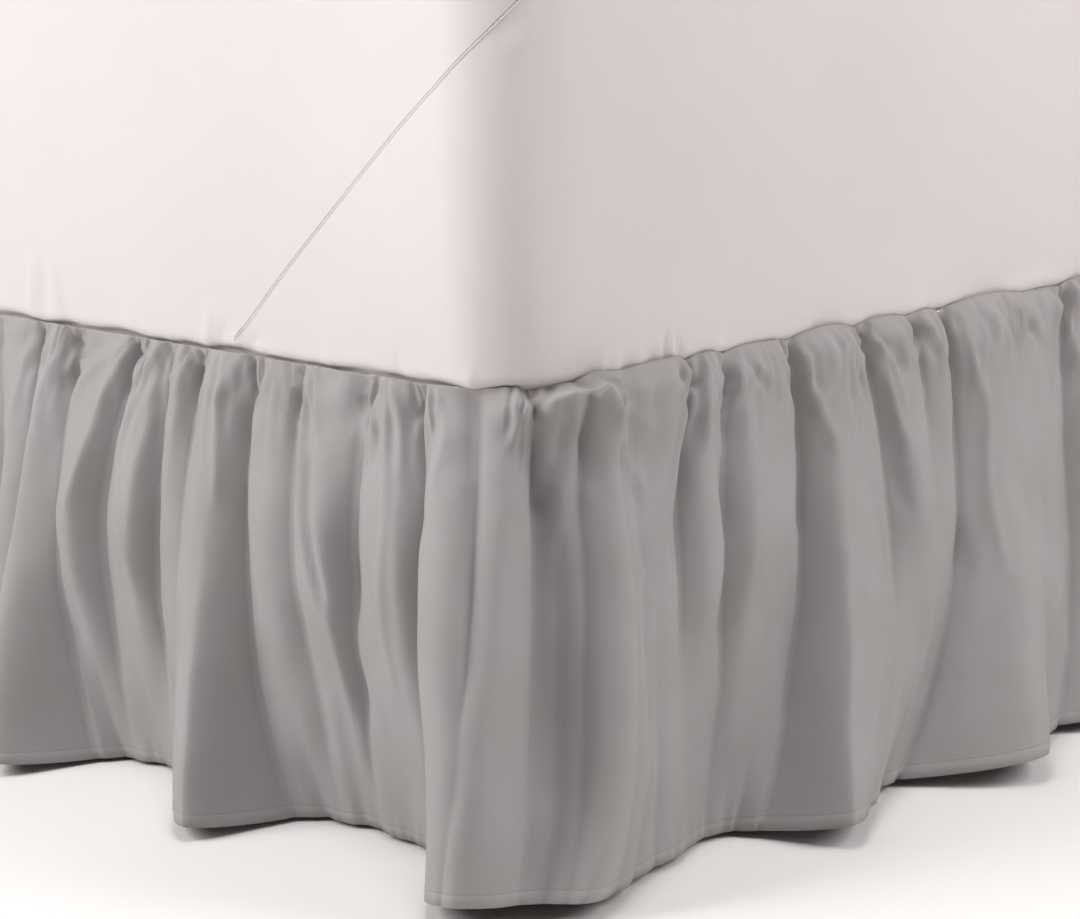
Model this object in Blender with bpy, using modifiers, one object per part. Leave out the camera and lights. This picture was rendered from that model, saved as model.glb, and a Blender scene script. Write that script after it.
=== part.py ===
# A ruffled bed skirt on a twin bed, with the mattress and base that it fits.
# Units are metres, +Z is up. The foot end is at -Y, the head end at +Y.
# The photographed corner is the one at +X, -Y.
import math

import bmesh
import bpy
import numpy as np
from mathutils import Vector

MM = 0.001

# Bed
BED_WIDTH = 0.99
BED_LENGTH = 1.905
SEAM_HEIGHT = 0.384
SEAM_CORNER = 0.08
FIT_GAP = 0.3 * MM

# Skirt
DROP = 0.380
CLOTH = 1.5 * MM
PANEL_THICK = 1.2 * MM
SWING_LIFT = 0.7
SHOULDER_PUFF = 9 * MM
PUFF_AT = 0.05

# Mattress
MATTRESS_HEIGHT = 0.33
MATTRESS_OVERHANG = 4 * MM
MATTRESS_CORNER = 0.065
MATTRESS_EDGE = 0.014
SIDE_BULGE = 5 * MM
CROWN = 10 * MM

# Base and legs
BASE_INSET = 24 * MM
BASE_HEIGHT = 0.20
BASE_EDGE = 0.012
LEG_RADIUS = 0.03
LEG_INSET = 0.13

# Each row is a ridge or a valley of the cloth that shows in the photo, from left to right.
# Columns: place along the edge at the seam, the waist and the hem, measured from the middle
# of the corner, then how far it stands out at the shoulder, waist, skirt and hem. In mm.
PHOTO_FOLDS = (
    (-575, -600, -590, 12, 24, 50, 85),
    (-552, -575, -552, 3, 12, 38, 80),
    (-527, -552, -523, 18, 44, 76, 104),
    (-505, -527, -490, 2, 12, 16, 14),
    (-432, -492, -476, 14, 32, 14, -6),
    (-418, -470, -462, 2, 8, -2, -10),
    (-392, -414, -432, 13, 30, 8, -12),
    (-374, -396, -408, 3, 8, 0, -6),
    (-353, -376, -385, 15, 20, 12, 4),
    (-337, -356, -360, 4, 14, 20, 18),
    (-303, -298, -264, 20, 46, 76, 97),
    (-270, -284, -236, 2, 6, 10, 6),
    (-240, -240, -215, 12, 26, 8, -12),
    (-216, -217, -195, 3, 14, 0, -14),
    (-190, -176, -172, 12, 27, 8, -15),
    (-135, -155, -152, 2, 5, -6, -16),
    (-106, -84, -102, 14, 30, 12, -13),
    (-78, -62, -50, 2, 6, 0, -6),
    (-46, -27, -23, 20, 68, 108, 124),
    (-28, -19, -18, 9, 57, 105, 128),
    (-3, -11, -12, 18, 62, 104, 130),
    (17, 14, 0, 2, 38, 88, 119),
    (34, 30, 10, 15, 50, 98, 122),
    (50, 42, 15, 4, 38, 90, 120),
    (68, 54, 23, 26, 60, 97, 118),
    (98, 84, 50, 9, 40, 64, 68),
    (158, 115, 80, 20, 44, 58, 60),
    (176, 140, 106, 4, 24, 44, 50),
    (196, 162, 132, 15, 40, 42, 42),
    (222, 200, 158, 3, 18, 28, 34),
    (248, 224, 176, 15, 38, 36, 36),
    (276, 262, 186, 12, 32, 34, 42),
    (300, 302, 196, 3, 16, 32, 60),
    (343, 314, 226, 24, 60, 100, 135),
    (388, 408, 290, 3, 24, 62, 98),
    (412, 436, 340, 18, 44, 58, 68),
    (458, 470, 352, 5, 26, 50, 65),
    (480, 492, 362, 14, 28, 48, 64),
    (505, 512, 374, 2, 18, 44, 62),
    (560, 546, 458, 24, 62, 108, 149),
    (625, 612, 530, 8, 36, 70, 100),
    (684, 668, 588, 3, 22, 50, 73),
    (706, 694, 650, 18, 46, 84, 118),
)
# The stretches that the photo does not show repeat these of its rows.
PLAIN_SOURCE = (10, 11, 12, 15, 16, 17)
PLAIN_PITCH = 257 * MM
PLAIN_DEPTH_SWING = 0.16
HEAD_END_FOLD = (4, 10, 14, 18)

PHOTO_STEPS = 4
PLAIN_STEPS = 3
CORNER_STEPS = 6
WAIST = 0.40
FOLD_HEIGHTS = (0.0, 0.12, WAIST, 0.70, 1.0)
SKIRT_LEVELS = (0.0, 0.04, 0.12, 0.26, 0.45, 0.70, 1.0)

# Worked out from the sizes above
CORNER_ARC = math.pi / 2 * SEAM_CORNER
FOOT_RUN = BED_WIDTH - 2 * SEAM_CORNER
SIDE_RUN = BED_LENGTH - SEAM_CORNER
PATH_START = -1.5 * CORNER_ARC - FOOT_RUN - SIDE_RUN
PATH_END = 0.5 * CORNER_ARC + SIDE_RUN
FAR_CORNER = -CORNER_ARC - FOOT_RUN
PANEL_TOP = SEAM_HEIGHT - 0.5 * MM
PANEL_INSET = CLOTH + 2 * FIT_GAP
BASE_TOP = PANEL_TOP - PANEL_THICK - FIT_GAP
LEG_HEIGHT = BASE_TOP - BASE_HEIGHT - FIT_GAP
MATTRESS_BOTTOM = PANEL_TOP + FIT_GAP


def clear_scene():
    for obj in list(bpy.data.objects):
        bpy.data.objects.remove(obj, do_unlink=True)


def material(name, colour, roughness):
    made = bpy.data.materials.new(name)
    made.use_nodes = True
    shader = made.node_tree.nodes["Principled BSDF"]
    shader.inputs["Base Color"].default_value = (*colour, 1.0)
    shader.inputs["Roughness"].default_value = roughness
    shader.inputs["Metallic"].default_value = 0.0
    return made


def add_object(name, bm, look, place=(0.0, 0.0, 0.0)):
    mesh = bpy.data.meshes.new(name)
    bm.to_mesh(mesh)
    bm.free()
    mesh.materials.append(look)
    mesh.shade_smooth()
    mesh.set_sharp_from_angle(angle=math.radians(40))
    obj = bpy.data.objects.new(name, mesh)
    obj.location = place
    bpy.data.collections["bed_skirt"].objects.link(obj)
    return obj


def seam_path(along):
    """The point and the outward direction of the seam line at a distance along it."""
    half_width = BED_WIDTH / 2
    centre_x = half_width - SEAM_CORNER
    centre_y = SEAM_CORNER - BED_LENGTH / 2
    near = CORNER_ARC / 2
    if along >= near:
        return (half_width, centre_y + along - near), (1.0, 0.0)
    if along <= -near - FOOT_RUN - CORNER_ARC:
        return (-half_width, centre_y - along - 3 * near - FOOT_RUN), (-1.0, 0.0)
    if -near - FOOT_RUN <= along <= -near:
        return (centre_x + along + near, -BED_LENGTH / 2), (0.0, -1.0)
    if along > -near:
        angle = along / SEAM_CORNER - math.pi / 4
    else:
        centre_x = -centre_x
        angle = (along + near + FOOT_RUN) / SEAM_CORNER - math.pi / 2
    out = (math.cos(angle), math.sin(angle))
    return (centre_x + SEAM_CORNER * out[0], centre_y + SEAM_CORNER * out[1]), out


def plain_rows(first, last, going_right):
    """Rows for a stretch that the photo does not show, in groups like those it does."""
    source = np.array([PHOTO_FOLDS[row] for row in PLAIN_SOURCE]) * MM
    places = source[:, :3] - source[0, 0]
    groups = round((last - first) / PLAIN_PITCH)
    pitch = (last - first) / groups
    rows = []
    for group in range(groups):
        depth = 1 + PLAIN_DEPTH_SWING * math.sin(1.7 * group + 0.4)
        spread = places * pitch / PLAIN_PITCH
        made = np.hstack([first + group * pitch + spread, source[:, 3:] * depth])
        if going_right:
            made[:, :3] = first + (group + 1) * pitch - spread
            made = made[::-1]
        rows.extend(made)
    return rows


def end_row(along):
    return np.array([along, along, along, *(out * MM for out in HEAD_END_FOLD)])


def fold_rows():
    """All rows from the head end of the left side round to the head end of the right side."""
    shown = np.array(PHOTO_FOLDS) * MM
    left = plain_rows(PATH_START + 0.03, shown[0, 0] - 0.02, False)
    right = plain_rows(shown[-1, 0] + 0.02, PATH_END - 0.03, True)
    return np.array([end_row(PATH_START), *left, *shown, *right, end_row(PATH_END)])


def steps_between(start, end):
    """More steps where the photo shows the folds, and round the far corner."""
    shown = start[0] >= PHOTO_FOLDS[0][0] * MM and end[0] <= PHOTO_FOLDS[-1][0] * MM
    if shown:
        return PHOTO_STEPS
    if end[0] > FAR_CORNER - CORNER_ARC / 2 and start[0] < FAR_CORNER + CORNER_ARC / 2:
        return CORNER_STEPS
    return PLAIN_STEPS


def cloth_columns():
    """Rows with the steps between them: places run evenly, depths ease from ridge to valley."""
    rows = fold_rows()
    columns = [rows[0]]
    for start, end in zip(rows, rows[1:]):
        count = steps_between(start, end)
        for step in range(1, count + 1):
            part = step / count
            eased = (1 - math.cos(math.pi * part)) / 2
            eased = 0.3 * part + 0.7 * eased
            places = start[:3] + (end[:3] - start[:3]) * part
            depths = start[3:] + (end[3:] - start[3:]) * eased
            columns.append(np.concatenate([places, depths]))
    return columns


def puff_share(along):
    """0 on the foot side, where the heading is tucked in, and 1 along the right side."""
    part = min(1.0, max(0.0, (along + 0.02) / 0.09))
    return part * part * (3 - 2 * part)


def place_along(column, down):
    """A smooth curve through the three places of a column."""
    seam, waist, hem = column[:3]
    bend = ((hem - seam) - (waist - seam) / WAIST) / (1 - WAIST)
    return seam + ((waist - seam) / WAIST - bend * WAIST) * down + bend * down * down


def cloth_point(column, down):
    along = place_along(column, down)
    out = np.interp(down, FOLD_HEIGHTS, [0.0, *column[3:]])
    rise = down / PUFF_AT * math.exp(1 - down / PUFF_AT)
    out += SHOULDER_PUFF * puff_share(along) * rise
    lift = SWING_LIFT * out * out / (2 * DROP * max(down, PUFF_AT))
    (x, y), normal = seam_path(along)
    return (x + normal[0] * out, y + normal[1] * out, SEAM_HEIGHT - DROP * down + lift)


def build_ruffle(look):
    """One gathered strip: a grid whose columns follow the folds, then given its thickness."""
    columns = cloth_columns()
    last_column = len(columns) - 1
    last_level = len(SKIRT_LEVELS) - 1
    bm = bmesh.new()
    bmesh.ops.create_grid(bm, x_segments=last_column, y_segments=last_level, size=1.0)
    for vert in bm.verts:
        column = columns[round((vert.co.x + 1) / 2 * last_column)]
        level = round((1 - vert.co.y) / 2 * last_level)
        vert.co = cloth_point(column, SKIRT_LEVELS[level])
    ruffle = add_object("ruffle", bm, look)
    thick = ruffle.modifiers.new("cloth thickness", "SOLIDIFY")
    thick.thickness = CLOTH
    thick.offset = -1.0
    return ruffle


def rounded_slab(inset, bottom, top, radius, segments=6):
    """A slab as wide and long as the seam line less an inset, its two foot corners rounded."""
    bm = bmesh.new()
    bmesh.ops.create_cube(bm, size=1.0)
    for vert in bm.verts:
        vert.co.x *= BED_WIDTH - 2 * inset
        vert.co.y = -BED_LENGTH / 2 + inset if vert.co.y < 0 else BED_LENGTH / 2
        vert.co.z = bottom if vert.co.z < 0 else top
    upright = [
        edge
        for edge in bm.edges
        if all(vert.co.y < 0 for vert in edge.verts)
        and abs(edge.verts[0].co.x - edge.verts[1].co.x) < MM
        and abs(edge.verts[0].co.z - edge.verts[1].co.z) > MM / 10
    ]
    bmesh.ops.bevel(bm, geom=upright, offset=radius, segments=segments, profile=0.5, affect="EDGES")
    return bm


def build_panel(look):
    bm = rounded_slab(PANEL_INSET, PANEL_TOP - PANEL_THICK, PANEL_TOP, SEAM_CORNER - PANEL_INSET, 10)
    return add_object("platform_panel", bm, look)


def build_base(look):
    bm = rounded_slab(BASE_INSET, BASE_TOP - BASE_HEIGHT, BASE_TOP, SEAM_CORNER - BASE_INSET)
    base = add_object("bed_base", bm, look)
    edges = base.modifiers.new("soft edges", "BEVEL")
    edges.width = BASE_EDGE
    edges.segments = 2
    edges.limit_method = "ANGLE"
    edges.angle_limit = math.radians(60)
    return base


def build_mattress(look):
    """A filled slab: bulging sides, a crowned top, round upright corners and soft rims."""
    half = (BED_WIDTH / 2 + MATTRESS_OVERHANG, BED_LENGTH / 2 + MATTRESS_OVERHANG)
    bm = bmesh.new()
    bmesh.ops.create_cube(bm, size=2.0)
    bmesh.ops.subdivide_edges(bm, edges=bm.edges, cuts=7, use_grid_fill=True)
    weights = bm.edges.layers.float.new("bevel_weight_edge")
    for edge in bm.edges:
        if all(abs(abs(v.co.x) - 1) < MM and abs(abs(v.co.y) - 1) < MM for v in edge.verts):
            edge[weights] = 1.0
    for vert in bm.verts:
        x, y, z = vert.co
        bulge = SIDE_BULGE * (1 - z * z)
        crown = CROWN * (1 - x * x) * (1 - y * y) * (z + 1) / 2
        vert.co.x = x * (half[0] + bulge)
        vert.co.y = y * (half[1] + bulge)
        vert.co.z = MATTRESS_BOTTOM + MATTRESS_HEIGHT * (z + 1) / 2 + crown
    mattress = add_object("mattress", bm, look)
    upright = mattress.modifiers.new("round corners", "BEVEL")
    upright.width = MATTRESS_CORNER
    upright.segments = 5
    upright.limit_method = "WEIGHT"
    rims = mattress.modifiers.new("soft rims", "BEVEL")
    rims.width = MATTRESS_EDGE
    rims.segments = 3
    rims.limit_method = "ANGLE"
    rims.angle_limit = math.radians(50)
    return mattress


def build_legs(look):
    reach_x = BED_WIDTH / 2 - LEG_INSET
    reach_y = BED_LENGTH / 2 - LEG_INSET
    number = 1
    for y in (-reach_y, 0.0, reach_y):
        for x in (-reach_x, reach_x):
            bm = bmesh.new()
            bmesh.ops.create_cone(
                bm, cap_ends=True, segments=24, radius1=LEG_RADIUS, radius2=LEG_RADIUS, depth=LEG_HEIGHT
            )
            add_object(f"leg_{number}", bm, look, (x, y, LEG_HEIGHT / 2))
            number += 1


def centre_on_footprint():
    """Moves everything until the origin is on the floor under the middle of the whole footprint."""
    bpy.context.view_layer.update()
    graph = bpy.context.evaluated_depsgraph_get()
    objects = list(bpy.data.collections["bed_skirt"].objects)
    corners = [
        obj.matrix_world @ Vector(corner)
        for obj in objects
        for corner in obj.evaluated_get(graph).bound_box
    ]
    middle_x = (min(c.x for c in corners) + max(c.x for c in corners)) / 2
    middle_y = (min(c.y for c in corners) + max(c.y for c in corners)) / 2
    for obj in objects:
        obj.location.x -= middle_x
        obj.location.y -= middle_y


def main():
    clear_scene()
    bpy.context.scene.collection.children.link(bpy.data.collections.new("bed_skirt"))
    build_ruffle(material("grey skirt cloth", (0.39, 0.385, 0.38), 0.85))
    build_panel(material("white panel cloth", (0.82, 0.81, 0.80), 0.85))
    build_mattress(material("white fitted sheet", (0.80, 0.76, 0.74), 0.8))
    build_base(material("pale base cloth", (0.62, 0.61, 0.60), 0.9))
    build_legs(material("dark leg plastic", (0.03, 0.03, 0.03), 0.5))
    centre_on_footprint()


main()
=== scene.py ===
# A gathered bed skirt on a twin bed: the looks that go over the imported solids.
# Metres, +Z up. The foot end is at -Y and the corner that faces the camera is at +X, -Y.
import math

import bmesh
import bpy
import numpy as np
from mathutils import Matrix, Vector, noise


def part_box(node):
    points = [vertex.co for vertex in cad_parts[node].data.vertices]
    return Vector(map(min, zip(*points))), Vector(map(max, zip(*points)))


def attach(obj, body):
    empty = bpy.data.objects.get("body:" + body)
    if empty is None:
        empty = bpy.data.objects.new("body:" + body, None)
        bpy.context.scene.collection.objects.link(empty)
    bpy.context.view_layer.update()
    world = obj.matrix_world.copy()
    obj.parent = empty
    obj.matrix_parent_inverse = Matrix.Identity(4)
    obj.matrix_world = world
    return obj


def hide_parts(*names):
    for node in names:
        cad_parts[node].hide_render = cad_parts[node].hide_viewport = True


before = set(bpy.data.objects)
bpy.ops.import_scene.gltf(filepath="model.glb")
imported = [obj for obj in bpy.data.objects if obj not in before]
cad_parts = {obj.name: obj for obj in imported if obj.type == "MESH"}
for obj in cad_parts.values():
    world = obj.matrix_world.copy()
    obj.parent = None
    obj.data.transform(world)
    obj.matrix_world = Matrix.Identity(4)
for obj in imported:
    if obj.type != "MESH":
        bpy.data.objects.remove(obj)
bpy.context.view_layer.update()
mm = 0.001
print("frame loaded")


# The bed that everything hangs on or lies on
bed = {
    "width": 0.99,
    "length": 1.905,
    "seamHeight": 0.384,
    "seamCorner": 0.08,
    "panelInset": 2.1 * mm,  # from the seam line in to the platform panel's edge
}
panelLow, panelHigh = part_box("platform_panel")
cornerX = panelHigh.x + bed["panelInset"]  # where the two seam lines would meet
cornerY = panelLow.y - bed["panelInset"]
cornerArc = math.pi / 2 * bed["seamCorner"]
footRun = bed["width"] - 2 * bed["seamCorner"]
sideRun = bed["length"] - bed["seamCorner"]
pathStart = -1.5 * cornerArc - footRun - sideRun
pathEnd = 0.5 * cornerArc + sideRun


def seamPath(along, radius=bed["seamCorner"], grow=0.0):
    # place and outward direction on the seam line, measured from the middle of the near corner
    along = np.asarray(along, float)
    right = cornerX + grow
    left = cornerX - bed["width"] - grow
    foot = cornerY - grow
    arc = math.pi / 2 * radius
    run = right - left - 2 * radius
    farCorner = -1.5 * arc - run
    x, y, outX, outY = (np.zeros_like(along) for _ in range(4))
    turn = np.clip(along / radius, -math.pi / 4, math.pi / 4) - math.pi / 4
    near = along > -arc / 2
    x[near] = (right - radius + radius * np.cos(turn))[near]
    y[near] = (foot + radius + radius * np.sin(turn))[near] + np.maximum(0, along[near] - arc / 2)
    outX[near], outY[near] = np.cos(turn)[near], np.sin(turn)[near]
    flat = (along <= -arc / 2) & (along >= -arc / 2 - run)
    x[flat] = right - radius + along[flat] + arc / 2
    y[flat] = foot
    outY[flat] = -1
    turn = np.clip((along + arc / 2 + run) / radius, -math.pi / 2, 0) - math.pi / 2
    far = along < -arc / 2 - run
    x[far] = (left + radius + radius * np.cos(turn))[far]
    y[far] = (foot + radius + radius * np.sin(turn))[far] + np.maximum(0, farCorner - along[far])
    outX[far], outY[far] = np.cos(turn)[far], np.sin(turn)[far]
    return x, y, outX, outY


def smoothCurve(at, knots, values):
    # a smooth curve through a few values, with no overshoot at the ends
    knots, values = np.asarray(knots, float), np.asarray(values, float)
    slopes = np.diff(values) / np.diff(knots)
    tangents = np.empty(len(knots))
    tangents[0], tangents[-1] = slopes[0], slopes[-1]
    gaps = np.diff(knots)
    tangents[1:-1] = (slopes[:-1] * gaps[1:] + slopes[1:] * gaps[:-1]) / (gaps[1:] + gaps[:-1])
    span = np.clip(np.searchsorted(knots, at, side="right") - 1, 0, len(knots) - 2)
    gap = gaps[span]
    t = (at - knots[span]) / gap
    return (
        (2 * t**3 - 3 * t**2 + 1) * values[span]
        + (t**3 - 2 * t**2 + t) * gap * tangents[span]
        + (3 * t**2 - 2 * t**3) * values[span + 1]
        + (t**3 - t**2) * gap * tangents[span + 1]
    )


def smoothStep(value, low, high):
    part = np.clip((value - low) / (high - low), 0, 1)
    return part * part * (3 - 2 * part)


def softLine(along, down, start, end, width, endFade=1.0):
    # 1 on a line drawn on the cloth, fading to 0 at its sides and ends
    run = np.array([end[0] - start[0], end[1] - start[1]])
    size = float(run @ run)
    part = ((along - start[0]) * run[0] + (down - start[1]) * run[1]) / size
    kept = np.clip(part, 0, 1)
    away = (along - start[0] - kept * run[0]) ** 2 + (down - start[1] - kept * run[1]) ** 2
    return np.exp(-away / width**2) * (1 - 0.7 * endFade * np.abs(2 * kept - 1) ** 3)


def dents(across, down, size, seed):
    # slow unevenness of the cloth, about -1 to 1, for a grid given by its columns and rows
    across, down = np.asarray(across).ravel(), np.asarray(down).ravel()
    return np.array([[2 * noise.noise((x / size, y / size, seed)) for x in across] for y in down])


def gridPiece(name, points, look, uv=None, mergeWithin=0.0):
    # a grid whose corners are moved onto points[row, column], merged where they meet
    rows, columns = points.shape[:2]
    bm = bmesh.new()
    bmesh.ops.create_grid(bm, x_segments=columns - 1, y_segments=rows - 1, size=1.0)
    place = np.array([vert.co for vert in bm.verts])
    column = np.rint((place[:, 0] + 1) / 2 * (columns - 1)).astype(int)
    row = np.rint((place[:, 1] + 1) / 2 * (rows - 1)).astype(int)
    for vert, co in zip(bm.verts, points[row, column]):
        vert.co = co
    if uv is not None:
        layer = bm.loops.layers.uv.new("cloth")
        flat = uv[row, column]
        for face in bm.faces:
            for loop in face.loops:
                loop[layer].uv = flat[loop.vert.index]
    if mergeWithin:
        bmesh.ops.remove_doubles(bm, verts=bm.verts, dist=mergeWithin)
    return pieceFrom(name, bm, look)


def pieceFrom(name, bm, look):
    mesh = bpy.data.meshes.new(name)
    bm.to_mesh(mesh)
    bm.free()
    mesh.materials.append(look)
    mesh.shade_smooth()
    piece = bpy.data.objects.new(name, mesh)
    bpy.context.scene.collection.objects.link(piece)
    return piece


# Camera, floor and light
horizonAbove = 620  # pixels of the photo, from its middle up to the horizon
focalLength = 3000  # pixels: the lens, when the photo's 1080 columns are the sensor's width
cameraSettings = {
    "lens": 100.0,
    "sensor": 36.0,
    "height": 0.79,
    "azimuth": math.radians(44.56),
    "tilt": math.atan(horizonAbove / focalLength),
    "roll": math.radians(1.0),
    "distance": 2.1902,  # along the floor to the corner
    "sideways": -0.02227,
}


def buildCamera(s):
    ahead = Vector((-math.sin(s["azimuth"]), math.cos(s["azimuth"]), 0))
    across = Vector((math.cos(s["azimuth"]), math.sin(s["azimuth"]), 0))
    look = ahead * math.cos(s["tilt"]) - Vector((0, 0, math.sin(s["tilt"])))
    lift = ahead * math.sin(s["tilt"]) + Vector((0, 0, math.cos(s["tilt"])))
    right = across * math.cos(s["roll"]) - lift * math.sin(s["roll"])
    up = lift * math.cos(s["roll"]) + across * math.sin(s["roll"])
    camera = bpy.data.objects.new("camera", bpy.data.cameras.new("camera"))
    camera.data.sensor_width = s["sensor"]
    camera.data.lens = s["lens"]
    turn = Matrix((right, up, -look)).transposed().to_4x4()
    place = Vector((cornerX, cornerY, s["height"]))
    turn.translation = place - ahead * s["distance"] - across * s["sideways"]
    camera.matrix_world = turn
    bpy.context.scene.collection.objects.link(camera)
    bpy.context.scene.camera = camera
    return ahead, across


ahead, across = buildCamera(cameraSettings)

studio = {
    "floorSize": 14.0,
    "aim": 0.35,  # height that the softboxes point at
    "floorColour": (0.85, 0.835, 0.83),
    "skyStrength": 0.16,
    "skyColour": (1.0, 0.90, 0.87),
    # name: (degrees to the right of the camera, height in degrees, distance, size, power, colour)
    "leftSoftbox": (-80, 28, 2.3, 1.3, 50.0, (1.0, 0.995, 0.99)),
    "rightSoftbox": (83, 30, 2.3, 1.3, 36.0, (1.0, 0.99, 0.985)),
    "overhead": (0, 80, 2.4, 0.9, 21.0, (1.0, 1.0, 1.0)),
    "cornerCard": (-48, 32, 2.3, 0.4, 0.15, (1.0, 0.995, 0.99)),
    "cornerCardSpread": math.radians(16),  # its narrow beam lights only the sheet beside the corner
    "cornerCardAim": 0.66,
}


def areaLight(name, spec, aim, spread=math.pi):
    turn, height, distance, size, power, colour = spec
    light = bpy.data.lights.new(name, "AREA")
    light.size = size
    light.energy = power
    light.color = colour
    light.spread = spread
    lamp = bpy.data.objects.new(name, light)
    target = Vector((cornerX, cornerY, aim))
    turn, height = math.radians(turn), math.radians(height)
    level = across * math.sin(turn) - ahead * math.cos(turn)
    place = target + (level * math.cos(height) + Vector((0, 0, math.sin(height)))) * distance
    lamp.location = place
    lamp.rotation_euler = (target - place).to_track_quat("-Z", "Y").to_euler()
    bpy.context.scene.collection.objects.link(lamp)


def buildStudio(s):
    look = bpy.data.materials.new("pale floor")
    look.use_nodes = True
    shader = look.node_tree.nodes["Principled BSDF"]
    shader.inputs["Base Color"].default_value = (*s["floorColour"], 1)
    shader.inputs["Roughness"].default_value = 0.9
    shader.inputs["Specular IOR Level"].default_value = 0.1
    bm = bmesh.new()
    bmesh.ops.create_grid(bm, x_segments=1, y_segments=1, size=s["floorSize"])
    floor = pieceFrom("floor", bm, look)
    world = bpy.data.worlds.new("studio")
    world.use_nodes = True
    sky = world.node_tree.nodes["Background"]
    sky.inputs["Color"].default_value = (*s["skyColour"], 1)
    sky.inputs["Strength"].default_value = s["skyStrength"]
    bpy.context.scene.world = world
    for name in ("leftSoftbox", "rightSoftbox", "overhead"):
        areaLight(name, s[name], s["aim"])
    areaLight("cornerCard", s["cornerCard"], s["cornerCardAim"], s["cornerCardSpread"])
    bpy.context.scene.view_settings.view_transform = "Standard"


buildStudio(studio)
print("camera and studio ready")


# Materials
weaveDepth = 0.15 * mm
yarnDepth = 0.5 * mm


def newLook(name):
    look = bpy.data.materials.new(name)
    look.use_nodes = True
    return look, look.node_tree.nodes, look.node_tree.links, look.node_tree.nodes["Principled BSDF"]


def clothLook(name, s):
    # plain woven cloth: two crossed sets of threads, uneven yarn and a faint mottled colour
    look, nodes, links, shader = newLook(name)
    shader.inputs["Roughness"].default_value = s["roughness"]
    shader.inputs["Specular IOR Level"].default_value = s["specular"]
    shader.inputs["Sheen Weight"].default_value = s["sheen"]
    shader.inputs["Sheen Roughness"].default_value = 0.5
    place = nodes.new("ShaderNodeTexCoord")
    source = place.outputs["UV"] if s["followsUv"] else place.outputs["Object"]
    split = nodes.new("ShaderNodeSeparateXYZ")
    links.new(source, split.inputs[0])
    if s["followsUv"]:
        warp, weft = split.outputs["X"], split.outputs["Y"]
    else:
        total = nodes.new("ShaderNodeMath")
        links.new(split.outputs["X"], total.inputs[0])
        links.new(split.outputs["Y"], total.inputs[1])
        warp, weft = total.outputs[0], split.outputs["Z"]
    waves = []
    for thread in (warp, weft):
        spread = nodes.new("ShaderNodeMath")
        spread.operation = "MULTIPLY"
        spread.inputs[1].default_value = 2 * math.pi / s["threadPitch"]
        links.new(thread, spread.inputs[0])
        wave = nodes.new("ShaderNodeMath")
        wave.operation = "SINE"
        links.new(spread.outputs[0], wave.inputs[0])
        waves.append(wave.outputs[0])
    weave = nodes.new("ShaderNodeMath")
    weave.operation = "MULTIPLY"
    links.new(waves[0], weave.inputs[0])
    links.new(waves[1], weave.inputs[1])
    yarn = nodes.new("ShaderNodeTexNoise")
    yarn.inputs["Scale"].default_value = s["yarnScale"]
    yarn.inputs["Detail"].default_value = 5.0
    stretch = nodes.new("ShaderNodeMapping")
    stretch.inputs["Scale"].default_value = s["yarnStretch"]
    links.new(source, stretch.inputs[0])
    links.new(stretch.outputs[0], yarn.inputs["Vector"])
    mottle = nodes.new("ShaderNodeTexNoise")
    mottle.inputs["Scale"].default_value = s["mottleScale"]
    mottle.inputs["Detail"].default_value = 4.0
    links.new(place.outputs["Object"], mottle.inputs["Vector"])
    tint = nodes.new("ShaderNodeMix")
    tint.data_type = "RGBA"
    tint.inputs["A"].default_value = (*s["darkTone"], 1)
    tint.inputs["B"].default_value = (*s["lightTone"], 1)
    links.new(mottle.outputs["Fac"], tint.inputs["Factor"])
    colour = tint.outputs["Result"]
    # the skirt's hem gets painted light on its band and painted shade on its stitch line
    if s["followsUv"]:
        colour = hemPaintedLightAndShade(nodes, links, split.outputs["Y"], colour, s)
    links.new(colour, shader.inputs["Base Color"])
    first = nodes.new("ShaderNodeBump")
    first.inputs["Distance"].default_value = weaveDepth
    first.inputs["Strength"].default_value = s["weaveBump"]
    links.new(weave.outputs[0], first.inputs["Height"])
    second = nodes.new("ShaderNodeBump")
    second.inputs["Distance"].default_value = yarnDepth
    second.inputs["Strength"].default_value = s["yarnBump"]
    links.new(yarn.outputs["Fac"], second.inputs["Height"])
    links.new(first.outputs[0], second.inputs["Normal"])
    links.new(second.outputs[0], shader.inputs["Normal"])
    return look


def hemPaintedLightAndShade(nodes, links, fromHem, colour, s):
    # painted light and shade: the band of doubled cloth at the hem is painted a little lighter, and a
    # darker stitch line on top of it is painted shade of the stitching's dimples
    band = nodes.new("ShaderNodeMapRange")
    band.inputs["From Min"].default_value = s["hemHeight"] + s["hemBlend"]
    band.inputs["From Max"].default_value = s["hemHeight"] - s["hemBlend"]
    links.new(fromHem, band.inputs["Value"])
    lighter = nodes.new("ShaderNodeMix")
    lighter.data_type = "RGBA"
    lighter.blend_type = "MULTIPLY"
    lighter.inputs["B"].default_value = (*[s["hemPaintedLight"]] * 3, 1)
    links.new(band.outputs[0], lighter.inputs["Factor"])
    links.new(colour, lighter.inputs["A"])
    away = nodes.new("ShaderNodeMath")
    away.operation = "SUBTRACT"
    away.inputs[1].default_value = s["hemHeight"]
    links.new(fromHem, away.inputs[0])
    near = nodes.new("ShaderNodeMath")
    near.operation = "ABSOLUTE"
    links.new(away.outputs[0], near.inputs[0])
    line = nodes.new("ShaderNodeMapRange")
    line.inputs["From Min"].default_value, line.inputs["From Max"].default_value = s["stitchWidths"]
    links.new(near.outputs[0], line.inputs["Value"])
    darker = nodes.new("ShaderNodeMix")
    darker.data_type = "RGBA"
    darker.blend_type = "MULTIPLY"
    darker.inputs["B"].default_value = (*[s["stitchPaintedShade"]] * 3, 1)
    links.new(line.outputs[0], darker.inputs["Factor"])
    links.new(lighter.outputs["Result"], darker.inputs["A"])
    return darker.outputs["Result"]


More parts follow.
